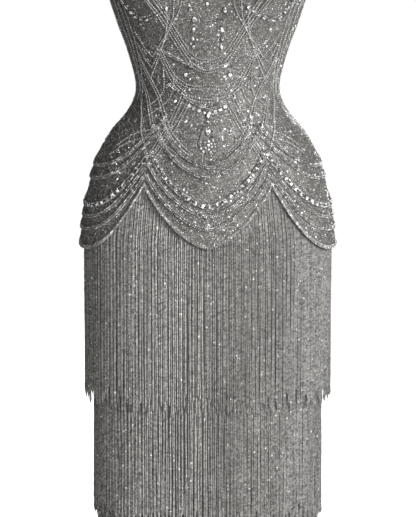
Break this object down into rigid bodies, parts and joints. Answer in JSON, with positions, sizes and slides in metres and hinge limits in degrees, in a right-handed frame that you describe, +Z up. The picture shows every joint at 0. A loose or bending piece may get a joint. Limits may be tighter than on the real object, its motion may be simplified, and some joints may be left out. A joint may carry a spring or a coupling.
{
  "type": "mermaid gown",
  "caption": "Strapless floor-length mermaid gown: beaded bodice with a scalloped lower edge over a fitted skirt with tiers of bead fringe that flares to the hem.",
  "frame": {"origin": "centre of the waist, where the wearer holds the gown up", "axes": "+Z up, the front faces -Y, the wearer's left is +X"},
  "size_m": [0.65, 0.616, 1.296],
  "materials": {
    "beaded_tulle": "silver-grey tulle covered with small clear and silver beads",
    "skirt_cloth": "plain silver-grey cloth under the fringe",
    "bead_fringe": "strands of silver-lined bugle beads",
    "stones": "clear foil-backed stones",
    "zip_strip": "grey coil zip, closed"
  },
  "bodies": {
    "root": {"bodice_front": "beaded_tulle", "bodice_side_left": "beaded_tulle", "bodice_side_right": "beaded_tulle", "bodice_back_left": "beaded_tulle", "bodice_back_right": "beaded_tulle", "cup_left": "beaded_tulle", "cup_right": "beaded_tulle", "back_zip": "zip_strip", "centre_ornament": "stones", "skirt_front": "skirt_cloth", "skirt_back": "skirt_cloth", "fringe_tier_1": "bead_fringe", "fringe_tier_2": "bead_fringe", "fringe_tier_3": "bead_fringe", "fringe_tier_4": "bead_fringe", "fringe_tier_5": "bead_fringe"}
  },
  "joints": []
}
